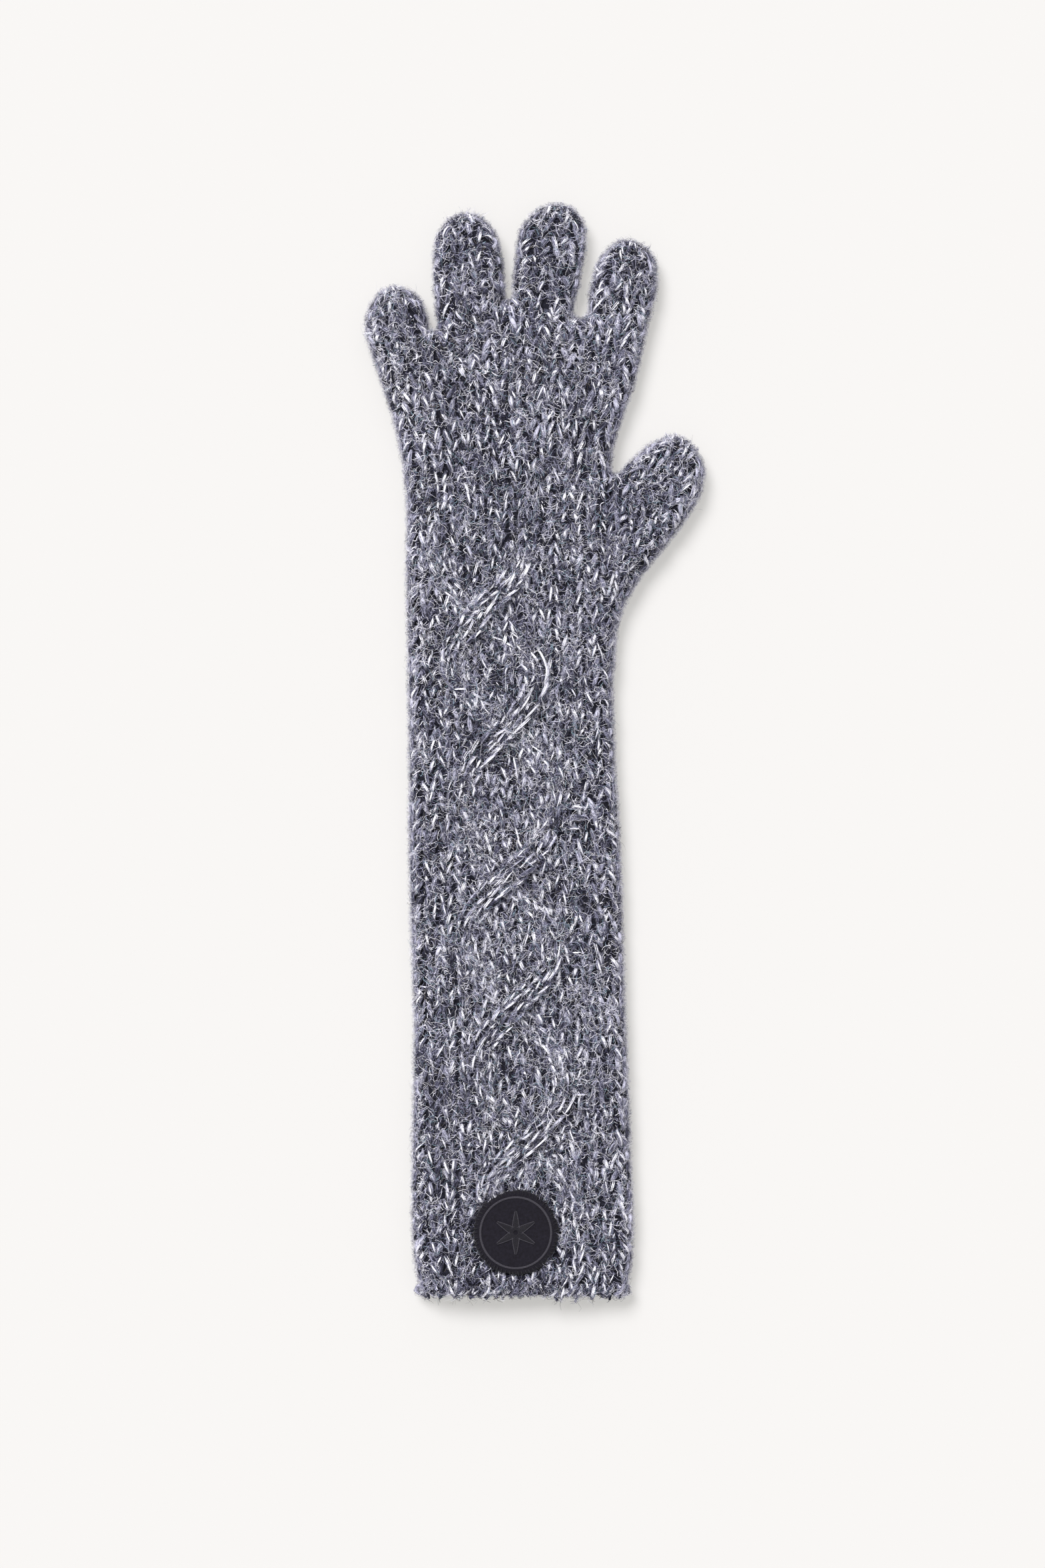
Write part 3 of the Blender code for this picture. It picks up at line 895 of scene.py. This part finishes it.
def pick_starts(layers, count, rim_only):
    """Random places on some layers' stitches: points, yarn directions and outward directions."""
    lines, outwards = [layer[0] for layer in layers], [layer[1] for layer in layers]
    tangents = [unit(np.gradient(line, axis=1)) for line in lines]
    found = [np.concatenate([block.reshape(-1, 3) for block in kind]) for kind in (lines, tangents, outwards)]
    if rim_only:
        near = DEPTH(found[0][:, 0], found[0][:, 1]) < INSET + 0.6
        found = [kind[near] for kind in found]
    pick = RNG.integers(0, len(found[0]), count)
    return [kind[pick] for kind in found]


def ground_starts(count, side):
    """Random places on the ground between the stitches, with directions along the columns."""
    low, high = OUTLINE.min(axis=0), OUTLINE.max(axis=0)
    x, y = RNG.uniform(low[0], high[0], count * 3), RNG.uniform(low[1], high[1], count * 3)
    inside = np.nonzero((DEPTH(x, y) > INSET + 1) & (y > CORE_END_Y + 3))[0][:count]
    points, outwards = surface(x[inside], y[inside], side)
    across = np.broadcast_to([1.0, 0.0, 0.0], points.shape)
    return points, unit(np.cross(outwards, across)), outwards


def ribbons_along(line, aside, half):
    """Flat ribbons on both sides of middle lines, each kept off the floor by a gap of its own."""
    ribbons = np.stack([line - aside * half, line + aside * half], axis=2)
    clear = RNG.uniform(FLOOR_CLEAR, YARN_CLEAR - 0.05, (len(line), 1, 1))
    ribbons[..., 2] = np.maximum(ribbons[..., 2], clear)
    return ribbons


def fibre_ribbons(starts, tangents, outwards, spread, length, lift, width):
    """Thin curved ribbons that start at given places and run roughly along the yarn."""
    count = len(starts)
    across = unit(np.cross(tangents, outwards))
    t = np.linspace(0, 1, FIBRE_POINTS)[None, :]
    turn = RNG.normal(0, spread, (count, 1)) + RNG.normal(0, 1.5, (count, 1)) * (t - 0.5)
    turn = turn + RNG.normal(0, 0.7, (count, 1)) * np.sin(math.pi * (RNG.uniform(2, 4, (count, 1)) * t
                                                                     + RNG.uniform(0, 2, (count, 1))))
    ahead = tangents[:, None] * np.cos(turn)[..., None] + across[:, None] * np.sin(turn)[..., None]
    t = t[..., None]
    span = length[0] + (length[1] - length[0]) * RNG.random((count, 1, 1)) ** 1.6
    walk = np.cumsum(ahead, axis=1) * span / FIBRE_POINTS
    rise = lift[0] + (lift[1] - lift[0]) * RNG.random((count, 1, 1)) ** 2.2
    line = (starts[:, None] + walk - walk.mean(axis=1, keepdims=True)
            + outwards[:, None] * (1.1 + rise * np.sin(math.pi * t * 0.85) - 0.3 * t))
    tangent = unit(np.gradient(line, axis=1))
    flat = unit(np.cross(tangent, outwards[:, None]))
    return ribbons_along(line, flat, RNG.uniform(*width, (count, 1, 1)) / 2 * taper(t, 0.35))


def add_ribbons(batches, ribbons, slots):
    """Adds each ribbon to the batch of the piece that holds it."""
    steps = ribbons.shape[1]
    for name, chosen in shares_of(ribbons.mean(axis=(1, 2))):
        count = int(chosen.sum())
        batches[name].add(ribbons[chosen].reshape(-1, 3), strip_faces(count, steps, 2, joined=False), None,
                          np.zeros(count * steps * 2), np.repeat(slots[chosen], steps - 1))


def add_flecks(batches, layers):
    """Pale flecks: tufts of a few bright fibres that lie along single stitch legs."""
    for points, outward, _, _, share in layers:
        chosen = np.nonzero(RNG.random(len(points)) < share)[0]
        pick = np.repeat(chosen, FLECK_STRANDS)
        count = len(pick)
        reach = np.linspace(0, points.shape[1] - 1, FLECK_POINTS)
        low = np.floor(reach).astype(int)
        high = np.minimum(low + 1, points.shape[1] - 1)
        mix = (reach - low)[None, :, None]
        line = points[pick][:, low] * (1 - mix) + points[pick][:, high] * mix
        middle = line.mean(axis=1, keepdims=True)
        tufts = RNG.uniform([0.35, 1.3, -0.35], [0.9, 1.9, 0.35], (len(chosen), 3))
        length, height, offset = np.repeat(tufts, FLECK_STRANDS, axis=0).T[:, :, None, None]
        line = middle + (line - middle) * length * RNG.uniform(0.6, 1.1, (count, 1, 1))
        along, normal = unit(np.gradient(line, axis=1)), outward[pick][:, low]
        aside = unit(np.cross(along, normal))
        line = line + normal * (height + RNG.uniform(-0.15, 0.15, (count, 1, 1)))
        line = line + aside * (offset + RNG.normal(0, 0.24, (count, 1, 1)))
        line = line + along * RNG.normal(0, 0.4, (count, 1, 1))
        half = RNG.uniform(0.1, 0.22, (count, 1, 1)) * np.array([0.3, 0.85, 1, 0.85, 0.3])[None, :, None]
        ribbons = ribbons_along(line, aside, half)
        palest = len(FIBRE_SHADES) - np.arange(3)
        add_ribbons(batches, ribbons, RNG.choice(palest, count, p=[0.8, 0.14, 0.06]))


def fuzz_batches(layers, hem):
    """For each kind of fuzz and each piece, a batch of fibres or of flecks."""
    batches = {kind: {name: Batch() for name in PIECES} for kind in FUZZ_KINDS}
    shares = np.cumsum([weight for _, weight in FIBRE_SHADES])
    top = [layer for layer in layers if layer[3] > 0]
    under = [layer for layer in layers if layer[3] < 0]
    # Kind, layers to start on, only at the rim, number, spread in radians, then lengths, lifts and widths.
    groups = [
        ("down", top, False, FIBRES // 2, 0.9, (2, 5.5), (-0.2, 0.5), (0.14, 0.36)),
        ("fuzz", top, False, FIBRES, 0.9, (3, 9), (0.0, 1.2), (0.08, 0.17)),
        ("web", top, False, FIBRES * 3 // 5, 1.3, (6, 15), (0.5, 1.7), (0.05, 0.11)),
        ("down", None, False, FIBRES // 3, 1.1, (2.5, 7), (-0.5, 0.3), (0.12, 0.3)),
        ("down", under, False, FIBRES // 4, 0.9, (2.5, 7), (-0.2, 0.5), (0.12, 0.32)),
        ("web", under, False, FIBRES // 3, 1.1, (4, 11), (0.3, 1.4), (0.06, 0.14)),
        ("halo", top, True, FIBRES // 2, 1.2, (2, 5.5), (0.2, 1.6), (0.05, 0.11)),
        ("halo", under, False, FIBRES // 6, 0.9, (2.5, 7), (0.0, 1.0), (0.08, 0.18)),
        ("halo", under, True, FIBRES // 7, 1.2, (2.5, 7), (0.2, 2.0), (0.05, 0.11)),
        ("halo", [hem], False, FIBRES // 20, 1.2, (2, 6), (-0.6, 0.8), (0.08, 0.2)),
        ("halo", [hem], False, FIBRES // 20, 1.2, (3, 7), (0.0, 2.4), (0.05, 0.11)),
    ]
    for kind, source, rim, count, spread, length, lift, width in groups:
        starts = pick_starts(source, count, rim) if source else ground_starts(count, 1)
        ribbons = fibre_ribbons(*starts, spread, length, lift, width)
        count = len(ribbons)
        middle = ribbons.mean(axis=(1, 2))
        x, y = middle[:, 0], middle[:, 1]
        # Painted light: fibres near the rim are picked paler, where the rim turns from the lamp.
        paler = FIBRE_RIM_PAINTED_LIGHT * (1 - smoothstep(DEPTH(x, y) / RIM_FADE))
        bright = np.clip(RNG.random(count) + FUZZ_BLOTCHES * tone(x, y) + paler, 0, 0.999)
        add_ribbons(batches[kind], ribbons, np.searchsorted(shares / shares[-1], bright, side="right"))
    add_flecks(batches["flecks"], layers + [hem])
    return batches


# ==== Hem: a plied edge round the open end.
def hem_loop():
    """Points round the lip of the open end, a millimetre apart, and its length."""
    x = np.linspace(HEM_LEFT_X + 0.2, HEM_RIGHT_X - 0.2, 400)
    y = np.full(len(x), HEM_Y + HEM_LOOP)
    top = np.column_stack([x, y, MIDDLE_Z + half_thickness(x, y, 1)])
    under = np.column_stack([x, y, MIDDLE_Z - half_thickness(x, y, -1)])[::-1]
    closed = np.concatenate([top, under, top[:1]])
    length = lengths_along(closed)
    count = int(length[-1])
    wanted = np.arange(count) * length[-1] / count
    return np.column_stack([np.interp(wanted, length, closed[:, axis]) for axis in range(3)]), length[-1]


def hem_layers():
    """The cast-on edge: a row of slanted loops wrapped round the lip."""
    loop, length = hem_loop()
    count = int(length / HEM_PITCH)
    index = (np.arange(count) + RNG.normal(0, 0.12, count)) * len(loop) / count
    t = np.linspace(0, 1, HEM_STEPS)[None, :]
    place = index[:, None] + (t - 0.5) * HEM_SLANT
    wrapped = np.arange(len(loop) + 1)
    closed = np.concatenate([loop, loop[:1]])
    base = np.stack([np.interp(place % len(loop), wrapped, closed[:, axis]) for axis in range(3)], axis=-1)
    middle = np.stack([np.clip(base[..., 0], HEM_LEFT_X + 5, HEM_RIGHT_X - 5), base[..., 1],
                       np.full(base.shape[:2], MIDDLE_Z)], axis=-1)
    outward = unit(base - middle)
    angle = -1.5 + 3.0 * t + RNG.normal(0, 0.3, (count, 1))
    reach = HEM_LIFT + RNG.normal(0, 0.4, (count, 1))
    below = np.array([0.0, -1.0, 0.0])
    curl = outward * np.cos(angle)[..., None] * 0.8 - below * np.sin(angle)[..., None]
    line = base + reach[..., None] * curl + below * 0.6
    radii = HEM_RADIUS * RNG.uniform(0.85, 1.15, (count, 1)) * taper(t, 0.45)
    return line, unit(outward + below * 0.5), radii, 1, HEM_FLECKS


# ==== Badge: a round felt patch, sewn down, with a ring and a six-armed star worked on it.
BADGE_TOP = 14.9
RING_RADIUS = 14.8
STAR_TIP = 9.0          # how far the star's arms reach
STAR_HALF = 1.612       # half the width of an arm at its root
FILL_THREAD = (0.017, 0.015, 0.022)
LINE_THREAD = (0.065, 0.06, 0.076)
FELT_SHADES = (0.0055, 0.0042, 0.0078), (0.0145, 0.0125, 0.0215)
FELT_GRAIN = 900.0      # scales of the noise in the felt and in its threads
THREAD_GRAIN = 1600.0


def badge_height(x, y):
    """The felt's top: it follows the fabric's swell a little."""
    return BADGE_TOP + 0.25 * np.sin(0.21 * (x - 3)) + 0.2 * np.sin(0.17 * (y + 190))


def badge_felt():
    """The patch itself: rings of points from its middle out, over its edge and back underneath."""
    rings = [(0.0, 0.0), (0.25, 0.0), (0.5, 0.0), (0.72, 0.0), (0.88, -0.03), (0.955, -0.2), (0.99, -0.55),
             (1.0, -1.0), (0.99, -1.45), (0.93, -1.85), (0.6, -1.9), (0.0, -1.9)]
    around, last_upper = 120, 8
    batch = Batch()
    angle = 2 * math.pi * np.arange(around) / around
    ragged = 1 + 0.012 * np.sin(5 * angle + 1) + 0.008 * np.sin(11 * angle) + RNG.normal(0, 0.012, around)
    points = []
    for share, drop in rings:
        x = BADGE_CENTRE[0] + BADGE_RADIUS * share * ragged * np.cos(angle)
        y = BADGE_CENTRE[1] + BADGE_RADIUS * share * ragged * np.sin(angle)
        points.append(np.column_stack([x, y, badge_height(x, y) + drop]))
    points = np.concatenate(points)
    faces = strip_faces(1, len(rings), around)[:, [0, 3, 2, 1]]
    places = points[faces.ravel()]
    local = (places[:, :2] - BADGE_CENTRE) / BADGE_RADIUS * 0.24 + 0.25
    local[:, 0] += np.where(np.repeat(faces[:, 0] >= last_upper * around, 4), 0.5, 0)
    batch.add(points, faces, local, np.zeros(len(points)), np.zeros(len(faces)))
    made = batch.build("badge_patch", [felt_material("felt_nap", *FELT_SHADES, FELT_GRAIN)])
    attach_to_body(made, "lower_cuff")
    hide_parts("badge_felt")


def thread_piece(name, line, radii, material, node=None, sides=6, flat=0.75):
    """Thread worked on the badge, as one tube for each stitch."""
    batch = Batch()
    add_tubes(batch, line, np.tile([0.0, 0.0, 1.0], (*radii.shape, 1)), radii, sides, flat=flat)
    made = batch.build(name, [material])
    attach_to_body(made, "lower_cuff")
    if node:
        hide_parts(node)


def padded_stitches(name, line, radius, colour, node=None):
    """Embroidery in short stitches that are thickest at their middles."""
    profile = radius * taper(np.linspace(0, 1, line.shape[1]), 0.5)
    radii = profile[None] * RNG.uniform(0.88, 1.1, (len(line), 1))
    material = felt_material(name + "_yarn", tuple(0.7 * c for c in colour), colour, THREAD_GRAIN)
    thread_piece(name, line, radii, material, node)


def on_badge(x, y, above):
    """Points over the felt, from places measured from the badge's middle."""
    x, y = x + BADGE_CENTRE[0], y + BADGE_CENTRE[1]
    return np.stack([x, y, badge_height(x, y) + above], axis=-1)


def badge_ring():
    """A rope-stitched ring: slanted stitches that overlap their neighbours."""
    count = 132
    start = 2 * math.pi * np.arange(count)[:, None] / count
    t = np.linspace(0, 1, 5)[None]
    angle = start + (t - 0.5) * 0.11
    radius = RING_RADIUS + (t - 0.5) * 0.75
    line = on_badge(radius * np.cos(angle), radius * np.sin(angle), 0.12 + 0.16 * np.sin(math.pi * t))
    padded_stitches("badge_stitched_ring", line, 0.24, LINE_THREAD, "badge_ring")


def badge_star():
    """Six arms of satin stitch, each edged with a line of paler stitches."""
    fill, edge = [], []
    for arm in range(6):
        lean = math.radians(90 + 60 * arm)
        along = np.array([math.cos(lean), math.sin(lean)])
        across = np.array([-along[1], along[0]])
        reach = np.arange(1.2, STAR_TIP, 0.42)
        half = STAR_HALF * (1 - reach / STAR_TIP) ** 0.8 + 0.2
        t = np.linspace(-1, 1, 5)
        x, y = [along[axis] * reach[:, None] + across[axis] * half[:, None] * t + along[axis] * 0.35 * t
                for axis in (0, 1)]
        fill.append(on_badge(x, y, 0.12 + 0.26 * np.cos(math.pi * t / 2)[None]))
        start = np.arange(1.7, STAR_TIP - 0.2, 0.85)
        for way in (-1, 1):
            place = start[:, None] + 0.55 * t
            side = way * (STAR_HALF * np.clip(1 - place / STAR_TIP, 0, 1) ** 0.8 + 0.25)
            edge.append(on_badge(along[0] * place + across[0] * side, along[1] * place + across[1] * side,
                                 np.full(place.shape, 0.3)))
    padded_stitches("badge_star_fill", np.concatenate(fill), 0.24, FILL_THREAD, "badge_star")
    padded_stitches("badge_star_edge", np.concatenate(edge), 0.17, LINE_THREAD)


def sewing_thread():
    """Overcast stitches that hold the patch's edge down."""
    count = 62
    start = 2 * math.pi * (np.arange(count)[:, None] + RNG.normal(0, 0.12, (count, 1))) / count
    t = np.linspace(0, 1, 6)[None]
    radius = BADGE_RADIUS - 1.5 + 2.2 * t
    angle = start + (t - 0.5) * 0.03
    above = 0.12 + 0.12 * np.sin(math.pi * t) - 1.25 * smoothstep((t - 0.55) / 0.45)
    line = on_badge(radius * np.cos(angle), radius * np.sin(angle), above)
    material = felt_material("sewing_thread", (0.01, 0.01, 0.014), (0.025, 0.024, 0.03), THREAD_GRAIN)
    thread_piece("badge_sewing", line, np.full(line.shape[:2], 0.16), material, sides=5, flat=0.8)


def attach(made, piece):
    """Bakes the transform of one piece of fabric, or fastens the hand's piece to the hand's body."""
    if piece == "lower":
        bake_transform(made)
    elif piece == "upper":
        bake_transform(made)
    elif piece == "hand":
        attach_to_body(made, "hand_body")
    else:
        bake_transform(made)


def stands_for(piece):
    return {"lower": ["cuff_lower"], "upper": ["cuff_upper"], "hand": ["hand"]}.get(piece, [piece])


def build_glove():
    layers, hem = all_stitches(), hem_layers()
    yarn, ground = yarn_material(), core_material()
    shades = [principled(f"fibre_{index}", colour, 0.85) for index, (colour, _) in enumerate(FIBRE_SHADES)]
    shades.append(principled("fleck", FLECK_COLOUR, 0.7))
    knit = knit_batches(layers, core_shell())
    fuzz = fuzz_batches(layers, hem)
    for piece in PIECES:
        made = knit[piece].build("knit_" + piece, [yarn, ground])
        attach(made, piece)
        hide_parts(*stands_for(piece))
        for kind in FUZZ_KINDS:
            attach(fuzz[kind][piece].build(kind + "_" + piece, shades), piece)
    build_hem(hem, yarn)


def build_hem(hem, yarn):
    line, outward, radii, _, _ = hem
    batch = Batch()
    add_yarn(batch, line, outward, radii, YARN_SIDES)
    made = batch.build("hem_loops", [yarn])
    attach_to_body(made, "lower_cuff")
    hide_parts("hem_band")


# ==== Stage: floor, light and camera, in metres.
FLOOR_COLOUR = (0.41, 0.4, 0.4)
FLOOR_GLOW = (0.419, 0.413, 0.394)
WORLD_COLOUR = (0.98, 0.985, 1)
WORLD_STRENGTH = 0.5
BACKDROP = (0.93, 0.92, 0.91)
KEY_FROM = (-0.5, 0.8, 1.25)
KEY_STRENGTH = 3.1
KEY_ANGLE = 0.5
CAMERA_PLACE = (-0.0053, -0.0139, 1.8335)


def build_floor():
    bpy.ops.mesh.primitive_plane_add(size=6, location=(0, 0, 0))
    floor = bpy.context.object
    floor.name = "floor"
    paper = principled("floor_paper", FLOOR_COLOUR, 0.95)
    set_inputs(shader_of(paper), {"Emission Color": (*FLOOR_GLOW, 1), "Emission Strength": 1})
    floor.data.materials.append(paper)


def build_world():
    """Soft light from all round, and a paler backdrop for the camera alone."""
    world = bpy.data.worlds.new("studio")
    world.use_nodes = True
    tree = world.node_tree
    light, backdrop = tree.nodes["Background"], tree.nodes.new("ShaderNodeBackground")
    set_inputs(light, {"Color": (*WORLD_COLOUR, 1), "Strength": WORLD_STRENGTH})
    set_inputs(backdrop, {"Color": (*BACKDROP, 1)})
    path, mix = tree.nodes.new("ShaderNodeLightPath"), tree.nodes.new("ShaderNodeMixShader")
    tree.links.new(path.outputs["Is Camera Ray"], mix.inputs["Fac"])
    tree.links.new(light.outputs["Background"], mix.inputs[1])
    tree.links.new(backdrop.outputs["Background"], mix.inputs[2])
    tree.links.new(mix.outputs["Shader"], tree.nodes["World Output"].inputs["Surface"])
    bpy.context.scene.world = world


def build_key():
    key = bpy.data.lights.new("key", "SUN")
    key.energy = KEY_STRENGTH
    key.angle = KEY_ANGLE
    holder = add_object("key", key)
    holder.location = KEY_FROM
    holder.rotation_euler = (-Vector(KEY_FROM)).to_track_quat("-Z", "Y").to_euler()


def build_camera():
    """A long lens straight above the glove."""
    camera = bpy.data.cameras.new("above")
    camera.lens = 100
    camera.sensor_fit = "VERTICAL"
    camera.sensor_height = 36
    holder = add_object("above", camera)
    holder.location = CAMERA_PLACE
    bpy.context.scene.camera = holder


bpy.context.scene.view_settings.view_transform = "Standard"
build_floor()
build_world()
build_key()
build_camera()
build_glove()
badge_felt()
badge_ring()
badge_star()
sewing_thread()
